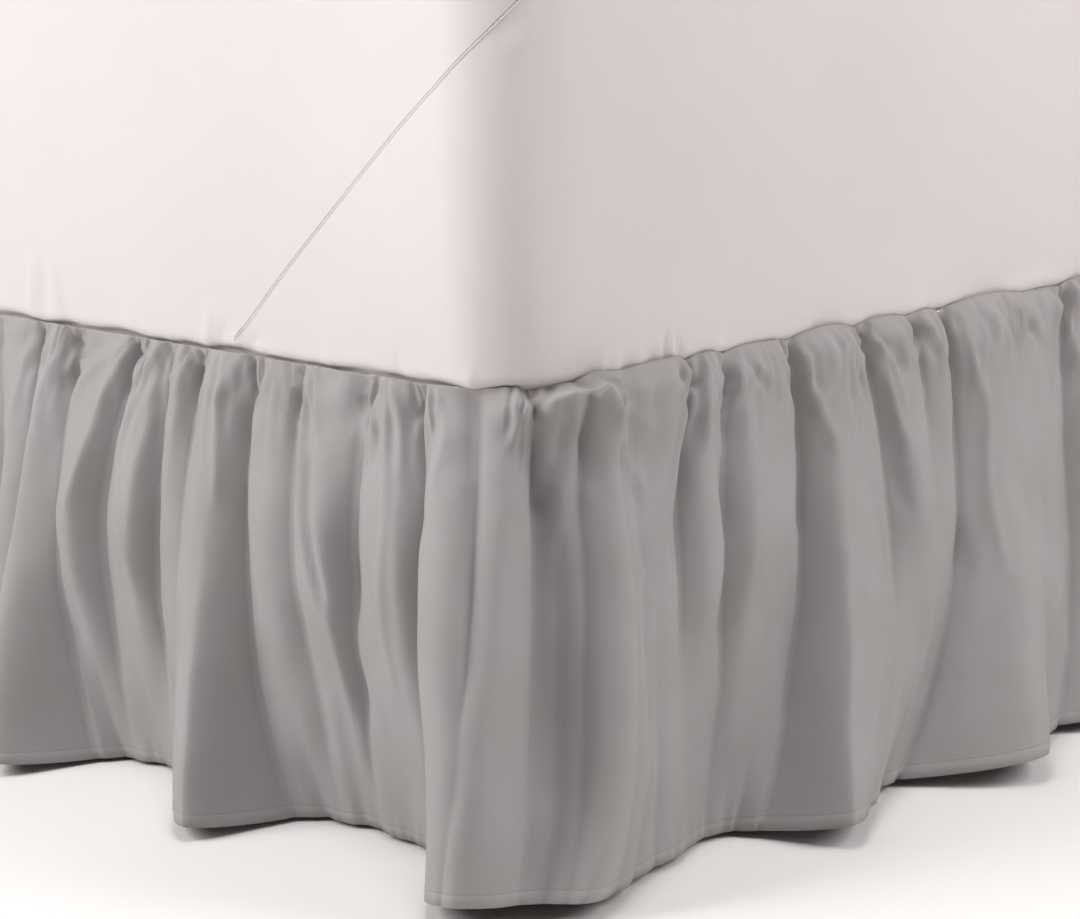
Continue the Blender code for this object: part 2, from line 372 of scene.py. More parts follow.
skirtLook = {
    "followsUv": True,
    "darkTone": (0.292, 0.270, 0.265),
    "lightTone": (0.362, 0.353, 0.355),
    "roughness": 0.82,
    "specular": 0.25,
    "sheen": 0.12,
    "threadPitch": 0.7 * mm,
    "yarnScale": 260.0,
    "yarnStretch": (0.25, 1.0, 1.0),
    "mottleScale": 11.0,
    "weaveBump": 0.35,
    "yarnBump": 0.10,
    "hemHeight": 10 * mm,
    "hemBlend": 0.4 * mm,
    "stitchWidths": (0.8 * mm, 0.2 * mm),  # half widths of the stitch line's faded and dark parts
    # painted light on the hem band, then painted shade on its stitch line
    "hemPaintedLight": 1.07,
    "stitchPaintedShade": 0.84,
}
sheetLook = {
    "followsUv": False,
    "darkTone": (0.615, 0.568, 0.564),
    "lightTone": (0.655, 0.605, 0.600),
    "roughness": 0.75,
    "specular": 0.25,
    "sheen": 0.1,
    "threadPitch": 0.6 * mm,
    "yarnScale": 300.0,
    "yarnStretch": (1.0, 1.0, 0.3),
    "mottleScale": 6.0,
    "weaveBump": 0.2,
    "yarnBump": 0.05,
}
# painted shade: the stitch strip is coloured dark for the shadow in the sunk seam groove
paintedSeamShadeLook = dict(sheetLook, darkTone=(0.30, 0.27, 0.27), lightTone=(0.38, 0.34, 0.34))
panelLook = dict(sheetLook, darkTone=(0.84, 0.83, 0.82), lightTone=(0.9, 0.89, 0.885))
panelLook["threadPitch"] = 1.0 * mm
baseLook = dict(
    sheetLook,
    darkTone=(0.56, 0.555, 0.545),
    lightTone=(0.66, 0.655, 0.645),
    threadPitch=1.6 * mm,
    yarnScale=120.0,
    weaveBump=0.6,
    roughness=0.9,
)


# The ruffle. Each row is a ridge or a valley of the cloth, from left to right. Columns: place
# along the edge at the seam, the waist and the hem, measured from the middle of the corner,
# then how far it stands out at the shoulder, waist, skirt and hem. In mm.
foldRows = (
    (-575, -600, -590, 12, 24, 50, 85),
    (-552, -575, -552, 3, 12, 38, 80),
    (-527, -560, -523, 16, 34, 66, 104),
    (-505, -527, -490, 2, 12, 16, 14),
    (-432, -492, -476, 14, 32, 14, -6),
    (-418, -470, -462, 2, 8, -2, -10),
    (-392, -414, -432, 13, 30, 8, -12),
    (-374, -396, -408, 3, 8, 0, -6),
    (-353, -376, -385, 15, 20, 12, 4),
    (-337, -356, -360, 4, 14, 20, 18),
    (-303, -310, -264, 18, 34, 64, 97),
    (-270, -284, -236, 2, 6, 10, 6),
    (-240, -240, -215, 12, 26, 8, -12),
    (-216, -217, -195, 3, 14, 0, -14),
    (-190, -176, -172, 12, 27, 8, -15),
    (-135, -155, -152, 2, 5, -6, -16),
    (-106, -84, -102, 14, 30, 12, -13),
    (-78, -62, -50, 2, 6, 0, -6),
    (-46, -27, -23, 20, 68, 108, 124),
    (-23, -18, -22, 10, 58, 106, 127),
    (-3, -10, -19, 20, 64, 107, 129),
    (17, 12, 0, 3, 19, 52, 106),
    (34, 28, 8, 10, 21, 50, 104),
    (50, 42, 15, 6, 30, 61, 111),
    (68, 56, 21, 22, 54, 91, 119),
    (80, 67, 36, 16, 45, 74, 92),
    (98, 82, 52, 12, 40, 64, 70),
    (158, 104, 78, 20, 39, 54, 59),
    (176, 140, 106, 4, 24, 44, 50),
    (196, 162, 132, 15, 40, 42, 42),
    (222, 200, 158, 3, 18, 28, 34),
    (248, 224, 176, 15, 38, 36, 36),
    (276, 262, 186, 12, 32, 34, 42),
    (300, 302, 196, 3, 16, 32, 60),
    (343, 328, 226, 22, 46, 86, 135),
    (388, 408, 290, 3, 24, 62, 98),
    (412, 436, 340, 18, 44, 58, 68),
    (458, 470, 352, 5, 26, 50, 65),
    (480, 492, 362, 14, 28, 48, 64),
    (505, 512, 374, 2, 18, 44, 62),
    (560, 562, 458, 22, 46, 92, 149),
    (625, 612, 530, 8, 36, 70, 100),
    (684, 668, 588, 3, 22, 50, 73),
    (706, 694, 650, 18, 46, 84, 118),
)
# Main creases, placed between the folds above: a chain of (along, down) places on the
# cloth, then the width and the depth. A positive depth is a ridge, a negative one a trough. In mm.
creases = (
    # left: the hooked tip, its light edge, and the folds that lean away from the corner
    ((-470, 10), (-500, 30), (-525, 55), 6, -4),
    ((-460, 20), (-510, 60), 4, 3),
    ((-430, 10), (-460, 60), (-490, 150), 5, 4),
    ((-390, 5), (-420, 40), (-435, 100), 5, 4),
    ((-400, 10), (-425, 50), 4, -4),
    ((-385, 5), (-395, 120), 5, -4),
    ((-300, 5), (-300, 120), 5, 4),
    ((-440, 110), (-410, 220), 8, 2.5),
    # the slit beside the long ridge, and the broad hollow before the corner
    ((-275, 5), (-285, 100), (-270, 200), 6, -5),
    ((-220, 5), (-215, 50), (-180, 190), 4, 3.5),
    ((-205, 30), (-175, 180), 5, -5),
    ((-110, 40), (-150, 90), (-155, 190), 10, -4),
    ((-190, 270), (-190, 350), 9, 2.5),
    ((-160, 250), (-140, 320), 9, -2.5),
    ((-110, 5), (-95, 110), (-100, 240), 5, 3),
    ((-55, 25), (-60, 70), (-50, 110), 6, -4),
    # corner: a forked hollow under the puffed heading, and the soft ridge beside it
    ((0, 35), (10, 60), (20, 90), 8, -5),
    ((35, 25), (30, 55), (20, 90), 8, -5),
    ((20, 90), (15, 170), (10, 300), 9, -5),
    ((45, 20), (35, 60), (30, 110), 5, 3),
    ((20, 5), (0, 40), 4, 3),
    ((30, 5), (35, 35), 4, -3),
    ((45, 5), (65, 35), 4, 3.5),
    ((60, 5), (80, 30), 4, -3),
    ((70, 5), (100, 35), 4, 3.5),
    # right of the corner: three-sided folds that run down to a light lens
    ((45, 20), (55, 80), 4, -4),
    ((55, 20), (80, 50), (100, 90), 4, 4.5),
    ((90, 15), (90, 35), 4, -3.5),
    ((110, 15), (110, 45), 4, 3.5),
    ((160, 25), (130, 100), (60, 170), 5, 4),
    ((170, 50), (145, 110), (125, 150), 8, -4),
    ((185, 25), (180, 65), 4, 3.5),
    ((155, 8), (160, 35), 4, -5),
    ((165, 5), (170, 25), 4, 3.5),
    ((210, 6), (215, 40), 4, -5),
    ((225, 5), (230, 30), 4, 4),
    ((240, 8), (255, 30), 4, -5),
    ((200, 25), (215, 60), 4, -4),
    ((200, 95), (205, 150), (190, 210), 11, -5),
    ((225, 220), (210, 300), 9, 3),
    ((275, 200), (255, 290), 9, -3),
    # the two deep folds on the right
    ((285, 20), (315, 65), 5, -3),
    ((305, 10), (330, 90), 5, 5),
    ((290, 5), (305, 45), 4, -4),
    ((345, 5), (360, 30), 4, 3.5),
    ((305, 70), (300, 150), 6, -4),
    ((360, 25), (390, 60), 5, -3.5),
    ((405, 20), (425, 100), 5, 3.5),
    ((405, 10), (440, 45), 4, -4),
    ((445, 5), (465, 30), 4, 3.5),
    ((460, 8), (485, 35), 4, -4),
    ((415, 90), (420, 160), 6, -3.5),
    ((500, 5), (520, 60), (495, 220), 5, -5),
    ((525, 20), (545, 90), (520, 220), 5, 4),
    ((570, 8), (590, 40), 4, -4),
    ((590, 5), (615, 50), 5, 4),
    ((610, 10), (645, 45), 4, -4),
    ((670, 50), (650, 120), 6, -4),
    ((680, 15), (690, 70), 5, 3.5),
)
skirt = {
    "drop": 0.380,
    "waist": 0.40,
    "heights": (0.12, 0.40, 0.70, 1.0),  # where the four depths of a row stand
    "valleySharpness": (0.95, 0.85, 0.75, 0.5),
    "ridgeRound": 0.8,
    "headingShare": 0.4,  # how much of the shoulder's depth the gathers keep at the seam itself
    "headingRise": (1.5 * mm, 5.5 * mm),  # the heading stands up a little, on the left and the right
    "headingReach": 7 * mm,
    "fullShoulder": 18 * mm,
    "leastRise": 0.35,
    "pinchSpread": 9.0 * mm,  # each valley is pinched in a narrow V under the heading
    "pinchReach": 30.0 * mm,
    "pinchWidth": 2.6 * mm,
    "pinchDepth": 5.2 * mm,
    "slitDepth": 4.6 * mm,
    "slitWidth": 3.0 * mm,
    "slitFade": (0.004, 0.02, 0.03, 0.26),  # shares of the drop: begin, full, wane and end
    "valleyShoulder": 5.5 * mm,  # a row that stands out less than this at the shoulder is a valley
    "shown": (-0.62, 0.73),  # the stretch that the camera sees, with close columns
    "cellShown": 3.6 * mm,
    "cellPlain": 22.0 * mm,
    "bodyRows": 42,
    "headerRows": 17,
    "headerCrowding": 1.25,  # above 1, the rows lie closer at the seam
    "headerEnd": 0.12,
    "swingLift": 0.7,
    "shoulderPuff": 9 * mm,
    "rightSide": (-0.02, 0.07),  # where the heading starts to puff out and rise, and where it is full
    "cornerPuff": 17 * mm,
    "cornerPuffPlace": (0.035, 0.045),  # middle along the seam, and spread
    "puffAt": 0.05,
    "gatherPitch": 11.0 * mm,
    "gatherDepth": 2.2 * mm,
    "gatherEnd": 0.11,
    "slackWaves": (1.4 * mm, 1.3 * mm, 0.4 * mm),
    # depth, size, how drawn out down the drop, seed, where they begin and are full
    "slackDents": ((3.0 * mm, 0.055, 0.45, 0.0, 0.1, 0.55), (1.0 * mm, 0.024, 0.5, 7.0, 0.05, 0.4)),
    "headingDents": (2.2 * mm, 0.0115, 0.45, 3.0),
    "stitchPitch": 12.5 * mm,
    "hemPucker": 0.9 * mm,
    "hemPuckerAt": 8 * mm,
    "hemPuckerReach": 6 * mm,
    "clothThickness": 0.9 * mm,
    "plainSource": (10, 11, 12, 15, 16, 17),  # the fold rows that the unseen stretches repeat
    "plainPitch": 0.257,
    "plainSwing": 0.16,
    "endGap": 0.03,
    "joinGap": 0.02,
    "headEndFold": (4, 10, 14, 18),  # depths at the head end, in mm
}


def plainRows(first, last, goingRight):
    # rows for a stretch that the photo does not show, in groups like those it does
    source = np.array([foldRows[row] for row in skirt["plainSource"]]) * mm
    places = source[:, :3] - source[0, 0]
    groups = round((last - first) / skirt["plainPitch"])
    pitch = (last - first) / groups
    rows = []
    for group in range(groups):
        depth = 1 + skirt["plainSwing"] * math.sin(1.7 * group + 0.4)
        spread = places * pitch / skirt["plainPitch"]
        made = np.hstack([first + group * pitch + spread, source[:, 3:] * depth])
        if goingRight:
            made[:, :3] = first + (group + 1) * pitch - spread
            made = made[::-1]
        rows.extend(made)
    return rows


def allFoldRows():
    shown = np.array(foldRows) * mm
    depths = [out * mm for out in skirt["headEndFold"]]
    left = plainRows(pathStart + skirt["endGap"], shown[0, 0] - skirt["joinGap"], False)
    right = plainRows(shown[-1, 0] + skirt["joinGap"], pathEnd - skirt["endGap"], True)
    return np.array([[pathStart] * 3 + depths, *left, *shown, *right, [pathEnd] * 3 + depths])


def foldColumns():
    # columns of the grid: round on the ridges, pinched in the valleys, more where the cloth shows
    rows = allFoldRows()
    sharp = np.array(skirt["valleySharpness"])
    columns = [rows[0]]
    for start, end in zip(rows, rows[1:]):
        shown = start[0] > skirt["shown"][0] and end[0] < skirt["shown"][1]
        cell = skirt["cellShown"] if shown else skirt["cellPlain"]
        run = max(abs(end[1] - start[1]), math.hypot(end[2] - start[2], end[5] - start[5]))
        count = max(3, math.ceil(run / cell))
        for step in range(1, count + 1):
            part = step / count
            even = (1 - math.cos(math.pi * part)) / 2
            fromValley = np.where(end[3:] > start[3:], part, 1 - part)
            pinched = np.sin(math.pi / 2 * fromValley) ** skirt["ridgeRound"]
            pinched = np.where(end[3:] > start[3:], pinched, 1 - pinched)
            eased = sharp * pinched + (1 - sharp) * even
            places = start[:3] + (end[:3] - start[:3]) * part
            depths = start[3:] + (end[3:] - start[3:]) * eased
            columns.append(np.concatenate([places, depths]))
    return np.array(columns)


def sidewaysPlace(seam, waist, hem, down):
    # a smooth curve through a fold's places at the seam, the waist and the hem
    share = skirt["waist"]
    bend = ((hem - seam) - (waist - seam) / share) / (1 - share)
    return seam + ((waist - seam) / share - bend * share) * down + bend * down**2


def runAlong(places, depths):
    # length of cloth from the left end to each column
    return np.concatenate([[0], np.cumsum(np.hypot(np.diff(places), np.diff(depths)))])


def foldDepth(columns, down):
    # smooth through the four heights, with a rounded shoulder above the first
    s = skirt

    def depthAt(places):
        weights = np.stack([smoothCurve(places, s["heights"], unit) for unit in np.eye(4)], axis=1)
        return weights @ columns[:, 3:].T

    shoulder = columns[:, 3]
    step = 1e-4
    slope = (depthAt(np.array([s["headerEnd"] + step]))[0] - shoulder) / step * s["headerEnd"]
    out = depthAt(down[:, 0])
    top = down[:, 0] < s["headerEnd"]
    part = down[top] / s["headerEnd"]
    kept = s["headingShare"] * shoulder
    out[top] = kept + part * slope + (shoulder - kept - slope) * (1 - (1 - part) ** 3)
    return out


def pinches(along, down):
    # how far the cloth is drawn in under the heading: a slit down each valley, below a narrow V
    s = skirt
    begin, full, wane, end = s["slitFade"]
    fade = smoothStep(down, begin, full) * (1 - smoothStep(down, wane, end))
    depth = np.zeros_like(along)
    for number, row in enumerate(allFoldRows()):
        if row[3] > s["valleyShoulder"]:
            continue
        middle = sidewaysPlace(*row[:3], down)
        wide = s["slitWidth"] * (1 + 3 * down) * (1 + 0.3 * math.sin(2.1 * number))
        slit = fade * np.exp(-(((along - middle) / wide) ** 2))
        depth += s["slitDepth"] * (1 + 0.35 * math.sin(1.3 * number)) * slit
        reach = s["pinchReach"] * (1 + 0.4 * math.sin(2.7 * number))
        for side in (-1, 1):
            spread = side * s["pinchSpread"] * (1 + 0.35 * math.sin(1.9 * number + side))
            start, tip = (row[0] + spread, 2 * mm), (row[0], reach)
            depth += s["pinchDepth"] * softLine(along, down * s["drop"], start, tip, s["pinchWidth"], 0.5)
    return depth


def gathers(clothRun, down):
    # fine gathers that fade below the heading
    s = skirt
    wander = 0.9 * np.sin(clothRun * 61) + 0.7 * np.sin(clothRun * 139 + 1.1)
    wave = 0.5 + 0.5 * np.sin(2 * math.pi * clothRun / s["gatherPitch"] + 3.1 * wander)
    strength = np.clip(0.35 + 0.65 * np.sin(clothRun * 53 + 0.6), 0, 1)
    end = s["gatherEnd"] + 0.05 * np.sin(clothRun * 97)
    return s["gatherDepth"] * strength * wave * (1 - smoothStep(down, 0.02, end))


def slack(clothRun, down):
    # the unevenness of hanging cloth: long waves, then dents, crumpled close under the heading
    s = skirt
    first, second, third = s["slackWaves"]
    waves = first * np.sin(clothRun * 27 + 4 * down) * np.sin(6 * down + clothRun * 7)
    waves = waves + second * np.sin(clothRun * 63 - 5 * down + 1.0)
    waves = waves + third * np.sin(15 * down + clothRun * 14)
    uneven = smoothStep(down, 0.1, 0.5) * waves
    for depth, size, drawn, seed, begin, full in s["slackDents"]:
        dented = dents(clothRun, drawn * down * s["drop"], size, seed)
        uneven = uneven + depth * smoothStep(down, begin, full) * dented
    depth, size, drawn, seed = s["headingDents"]
    crumpled = smoothStep(down, 0.0, 0.03) * (1 - smoothStep(down, 0.05, 0.3))
    return uneven + depth * crumpled * dents(clothRun, drawn * down * s["drop"], size, seed)


def hemPuckers(hemRun, fromHem):
    # small puckers where the hem is stitched
    s = skirt
    turns = 2 * math.pi * hemRun / s["stitchPitch"]
    pucker = np.sin(turns + 160 * fromHem + 2 * np.sin(hemRun * 90))
    away = (fromHem - s["hemPuckerAt"]) / s["hemPuckerReach"]
    return s["hemPucker"] * pucker * np.exp(-(away**2))


def ruffleShape():
    # (points, cloth coordinates) of the gathered strip, from the hem up
    s = skirt
    columns = foldColumns()
    seam, waist, hem, shoulder = columns[:, :4].T
    header = s["headerEnd"] * np.linspace(0, 1, s["headerRows"]) ** s["headerCrowding"]
    body = np.linspace(s["headerEnd"], 1, s["bodyRows"] + 1)[1:]
    down = np.concatenate([header, body])[:, None]
    dropped, fromHem = down * s["drop"], (1 - down) * s["drop"]
    along = sidewaysPlace(seam, waist, hem, down)
    out = foldDepth(columns, down)
    # Puffs on the right and at the corner, where the heading sits proud of the mattress
    rightSide = smoothStep(along, *s["rightSide"])
    puff = down / s["puffAt"] * np.exp(1 - down / s["puffAt"])
    middle, spread = s["cornerPuffPlace"]
    atCorner = np.exp(-(((along - middle) / spread) ** 2))
    out += s["shoulderPuff"] * rightSide * puff + s["cornerPuff"] * atCorner * puff**2
    out -= pinches(along, down)
    clothRun = runAlong(waist, columns[:, 4])
    out += gathers(clothRun, down) + slack(clothRun, down)
    for *chain, width, depth in creases:
        pairs = zip(chain, chain[1:])
        lines = [softLine(along / mm, dropped / mm, a, b, width, 0.5) for a, b in pairs]
        out += depth * mm * np.max(lines, axis=0)
    out += hemPuckers(runAlong(hem, columns[:, 6]), fromHem)
    # Cloth that swings out is lifted, and the heading stands up a little above the seam
    lift = s["swingLift"] * out**2 / (2 * s["drop"] * np.maximum(down, s["puffAt"]))
    leftRise, rightRise = s["headingRise"]
    rise = leftRise * (1 - rightSide) + rightRise * rightSide
    rise = rise * (s["leastRise"] + shoulder / s["fullShoulder"])
    lift += rise * np.exp(-((dropped / s["headingReach"]) ** 2))
    x, y, outX, outY = seamPath(along)
    height = bed["seamHeight"] - dropped + lift
    points = np.stack([x + outX * out, y + outY * out, height], axis=2)[::-1]
    uv = np.stack(np.broadcast_arrays(clothRun[None, :], fromHem), axis=2)[::-1]
    return points, uv


def buildRuffle():
    points, uv = ruffleShape()
    ruffle = gridPiece("ruffle_cloth", points, clothLook("grey skirt cloth", skirtLook), uv)
    thick = ruffle.modifiers.new("cloth thickness", "SOLIDIFY")
    thick.thickness = skirt["clothThickness"]
    thick.offset = -1.0
    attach(ruffle, "root")
    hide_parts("ruffle")
    rows, columns = points.shape[:2]
    print(f"ruffle: {columns} columns, {rows} rows, cloth {uv[0, -1, 0]:.2f} m long at the waist")
    return ruffle


ruffle = buildRuffle()


# The mattress in its fitted sheet
sheet = {
    "overhang": 4 * mm,
    "corner": 0.065,
    "rim": 0.010,
    "bulge": 5 * mm,
    "crown": 10 * mm,
    "hollow": 1.5 * mm,
    "bottom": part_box("mattress")[0].z,
    "height": 0.33,
    "fineStep": 4.2 * mm,
    "coarseStep": 14.0 * mm,
    "fineUntil": 0.60,
    "fineFade": 0.35,
    "sway": (1.2 * mm, 0.8 * mm),
    "edgeLift": 4.5 * mm,
    "liftReach": 0.02,
}
# Puckers of the sheet. Columns: along from the corner and up from the seam at each
# end, width and depth (a trough is negative). In mm.
sheetPuckers = (
    (-590, 0, -575, 65, 7, 1.8),
    (-570, 0, -560, 55, 6, -1.4),
    (-545, 0, -555, 65, 6, 1.6),
    (-530, 0, -540, 40, 6, -1.2),
    (-450, 0, -445, 25, 6, 1.2),
    (-350, 0, -340, 35, 5, 2.0),
    (-335, 0, -320, 25, 5, -1.6),
    (-315, 0, -300, 25, 4, 1.8),
    (-295, 0, -280, 20, 4, -1.6),
    (-200, 0, -195, 20, 5, 1.2),
    (-120, 0, -115, 25, 5, -1.2),
    (-40, 0, -35, 20, 4, 1.4),
    (95, 0, 100, 20, 4, 1.5),
    (110, 0, 115, 20, 4, 1.6),
    (125, 0, 125, 15, 4, -1.4),
    (140, 0, 140, 20, 4, 1.6),
    (155, 0, 155, 15, 4, -1.4),
    (170, 0, 170, 30, 3, -2.4),
    (180, 0, 175, 30, 3, 2.4),
    (190, 0, 180, 25, 3, -2.4),
    (230, 0, 235, 15, 5, 1.2),
    (340, 0, 345, 20, 5, 1.4),
    (480, 0, 500, 15, 8, 1.4),
    (610, 10, 700, 15, 8, 1.6),
    (-10, 265, 20, 280, 5, -1.0),
    (5, 250, 40, 285, 6, 1.2),
    (45, 40, 40, 290, 22, -2.6),
)
# The sheet's slanting corner seam: two strips side by side, a sunk line of stitches, coloured dark as
# painted shade of the seam's groove, and the folded edge to its right.
# Columns of a strip: sideways and out from the sheet, in mm.
seam = {
    "start": -0.324,  # along from the corner, at the sheet's lower edge
    "angle": math.radians(40.5),
    "rise": (0.012, 0.312),
    "bow": 11 * mm,
    "steps": 150,
    "ripple": 0.1 * mm,
    "thickness": 0.4 * mm,
    "stitches": ((-1.3, -0.3), (-0.9, 0.12), (-0.3, 0.12), (0.1, -0.3)),
    "foldedEdge": ((0.0, -0.4), (0.25, 0.5), (0.9, 0.6), (1.9, 0.15), (2.3, -0.4)),
}


def gradedPlaces(length, s):
    # places along one side, close together near the photographed corner
    places = [0.0]
    while places[-1] < length:
        coarse = float(smoothStep(places[-1], s["fineUntil"], s["fineUntil"] + s["fineFade"]))
        places.append(places[-1] + s["fineStep"] + (s["coarseStep"] - s["fineStep"]) * coarse)
    return np.array(places) * length / places[-1]


def sheetRelief(along, up):
    # how far the sheet stands proud of the plain mattress side
    slow, quick = sheet["sway"]
    sway = slow * np.sin(along * 9 + 1) * np.sin(up * 11 + along * 4)
    relief = (sway + quick * np.sin(along * 21 + up * 17)) * smoothStep(up, 0.0, 0.08)
    for startAlong, startUp, endAlong, endUp, width, depth in sheetPuckers:
        start, end = (startAlong, startUp), (endAlong, endUp)
        relief = relief + depth * mm * softLine(along / mm, up / mm, start, end, width)
    return relief


def sheetEdgeLift(along):
    # the lower edge of the sheet lifts and dips a little on its elastic
    wave = 0.5 + 0.28 * np.sin(along * 37 + 0.5) + 0.22 * np.sin(along * 83 + 2)
    return sheet["edgeLift"] * wave * (1 - 0.6 * smoothStep(along, 0.0, 0.1))


def sheetPoint(ring, part):
    # a point of the mattress side: ring gives place, direction and distance, part goes 0 to 1 up it
    s = sheet
    x, y, outX, outY, along = ring
    rim = s["rim"]
    quarter = math.pi / 2 * rim
    length = s["height"] - 2 * rim + math.pi * rim
    walked = part * length
    lowTurn = np.clip(walked / quarter, 0, 1) * math.pi / 2
    highTurn = np.clip((walked - (length - quarter)) / quarter, 0, 1) * math.pi / 2
    straight = np.clip(walked - quarter, 0, s["height"] - 2 * rim)
    up = rim * (1 - np.cos(lowTurn)) + straight + rim * np.sin(highTurn)
    inward = rim * (1 - np.sin(lowTurn)) + rim * (1 - np.cos(highTurn))
    share = up / s["height"]
    bulge = s["bulge"] * (1 - (2 * share - 1) ** 2)
    onSide = np.clip(lowTurn / 0.6, 0, 1) * (1 - 0.9 * np.clip(highTurn / 1.4, 0, 1))
    out = bulge - inward + sheetRelief(along, up) * onSide
    lift = sheetEdgeLift(along) * np.exp(-up / s["liftReach"]) * np.clip(lowTurn / 0.5, 0, 1)
    height = s["bottom"] + up + lift
    return x + outX * out, y + outY * out, height


def roundedRing(right, foot, left, head, radius, sidePlaces, footPlaces, arcSteps):
    # an outline, once round, from the middle of the photographed corner: place and outward direction
    arc = np.linspace(0, math.pi / 2, 2 * arcSteps + 1)
    made = []

    def corner(middle, start, turns):
        for angle in start + turns:
            outward = (math.cos(angle), math.sin(angle))
            made.append((middle[0] + radius * outward[0], middle[1] + radius * outward[1], *outward))

    def line(places, outward):
        made.extend((*place, *outward) for place in places)

    ups = foot + radius + sidePlaces[1:-1]
    overs = right - radius - footPlaces[1:-1]
    corner((right - radius, foot + radius), -math.pi / 4, arc[: arcSteps + 1])
    line([(right, up) for up in ups], (1, 0))
    corner((right - radius, head - radius), 0, arc)
    line([(over, head) for over in overs], (0, 1))
    corner((left + radius, head - radius), math.pi / 2, arc)
    line([(left, up) for up in ups[::-1]], (-1, 0))
    corner((left + radius, foot + radius), math.pi, arc)
    line([(over, foot) for over in overs[::-1]], (0, -1))
    corner((right - radius, foot + radius), -math.pi / 2, arc[: arcSteps + 1])
    return np.array(made).T


def mattressRing():
    # the mattress outline, and how far along the seam line each place is from the near corner
    s = sheet
    right, foot = cornerX + s["overhang"], cornerY - s["overhang"]
    left, head = cornerX - bed["width"] - s["overhang"], cornerY + bed["length"] + s["overhang"]
    radius = s["corner"]
    sidePlaces = gradedPlaces(head - foot - 2 * radius, s)
    footPlaces = gradedPlaces(right - left - 2 * radius, s)
    x, y, outX, outY = roundedRing(right, foot, left, head, radius, sidePlaces, footPlaces, 12)
    walked = np.concatenate([[0], np.cumsum(np.hypot(np.diff(x), np.diff(y)))])
    half = math.pi / 4 * radius
    stretch = cornerArc / 2 / half
    after = np.where(walked < half, walked * stretch, walked - half + cornerArc / 2)
    back = walked[-1] - walked
    behind = -np.where(back < half, back * stretch, back - half + cornerArc / 2)
    return x, y, outX, outY, np.where(walked < back, after, behind)


def shrunkRing(x, y, share):
    # the outline drawn in towards the line down the middle of the bed
    middleX, middleY = (x.max() + x.min()) / 2, (y.max() + y.min()) / 2
    halfX, halfY = (x.max() - x.min()) / 2, (y.max() - y.min()) / 2
    spine = middleY + np.clip(y - middleY, halfX - halfY, halfY - halfX)
    return middleX + (x - middleX) * share, spine + (y - spine) * share


def mattressShape():
    # points of the closed form: under side, side and top, each row once round it
    s = sheet
    ring = mattressRing()
    top = s["bottom"] + s["height"]
    stretches = (np.linspace(0, 0.2, 26)[:-1], np.linspace(0.2, 0.9, 36)[:-1], np.linspace(0.9, 1, 12))
    sideParts = np.concatenate(stretches)
    under, over = sheetPoint(ring, 0.0), sheetPoint(ring, 1.0)
    inner = (0.0, 0.3, 0.6, 0.85, 0.97)
    rows = [(*shrunkRing(under[0], under[1], share), under[2]) for share in inner]
    rows += [sheetPoint(ring, part) for part in sideParts]
    shares = (0.985, 0.96, 0.92, 0.86, 0.78, 0.66, 0.5, 0.32, 0.15, 0.0)
    rows += [(*shrunkRing(over[0], over[1], share), over[2]) for share in shares]
    points = np.stack([np.stack(row, axis=1) for row in rows])
    # Crown and slow hollows of the top
    x, y = points[..., 0], points[..., 1]
    acrossTop = (2 * x - x.max() - x.min()) / (x.max() - x.min())
    downTop = (2 * y - y.max() - y.min()) / (y.max() - y.min())
    onTop = smoothStep(points[..., 2], top - 0.1 * s["height"], top)
    crown = s["crown"] * np.clip(1 - acrossTop**2, 0, 1) * np.clip(1 - downTop**2, 0, 1)
    fade = np.clip(1 - np.maximum(abs(acrossTop), abs(downTop)) ** 6, 0, 1)
    points[..., 2] += onTop * (crown + s["hollow"] * np.sin(x * 11 + 1) * np.sin(y * 7) * fade)
    return points


def buildMattress():
    points = mattressShape()
    look = clothLook("white fitted sheet", sheetLook)
    mattress = gridPiece("mattress_in_sheet", points, look, mergeWithin=0.02 * mm)
    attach(mattress, "root")
    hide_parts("mattress")
    print(f"mattress: {len(mattress.data.polygons)} faces")


def buildSeamStrip(name, profile, look):
    s = seam
    part = np.linspace(0, 1, s["steps"])
    up = s["rise"][0] + (s["rise"][1] - s["rise"][0]) * part
    along = s["start"] + up / math.tan(s["angle"]) - s["bow"] * np.sin(math.pi * part)
    rows = []
    for side, out in profile:
        a = along + math.sin(s["angle"]) * side * mm
        u = up - math.cos(s["angle"]) * side * mm
        rows.append(onSheet(a, u, out * mm + s["ripple"] * np.sin(part * 420)))
    strip = gridPiece(name, np.stack(rows)[::-1], look)
    thick = strip.modifiers.new("cloth thickness", "SOLIDIFY")
    thick.thickness = s["thickness"]
    thick.offset = -1.0
    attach(strip, "root")


def onSheet(along, up, proud):
    # a point on the side of the mattress near the photographed corner
    s = sheet
    scale = math.pi / 2 * s["corner"] / cornerArc
    half = cornerArc / 2
    beyond = along + np.sign(along) * (half * scale - half)
    walked = np.where(np.abs(along) < half, along * scale, beyond)
    x, y, outX, outY = seamPath(walked, s["corner"], s["overhang"])
    share = up / s["height"]
    bulge = s["bulge"] * (1 - (2 * share - 1) ** 2)
    inward = s["rim"] * (1 - np.sqrt(np.clip(1 - (1 - np.clip(up / s["rim"], 0, 1)) ** 2, 0, 1)))
    out = bulge - inward + sheetRelief(along, up) + proud
    height = s["bottom"] + up + sheetEdgeLift(along) * np.exp(-up / s["liftReach"])
    return np.stack([x + outX * out, y + outY * out, height], axis=1)


buildMattress()
# the stitch strip carries painted shade, its dark colour standing for the shadow in the seam's groove
buildSeamStrip("sheet_seam_painted_stitch_shade", seam["stitches"], clothLook("painted shade of seam stitches", paintedSeamShadeLook))
buildSeamStrip("sheet_seam_edge", seam["foldedEdge"], bpy.data.materials["white fitted sheet"])


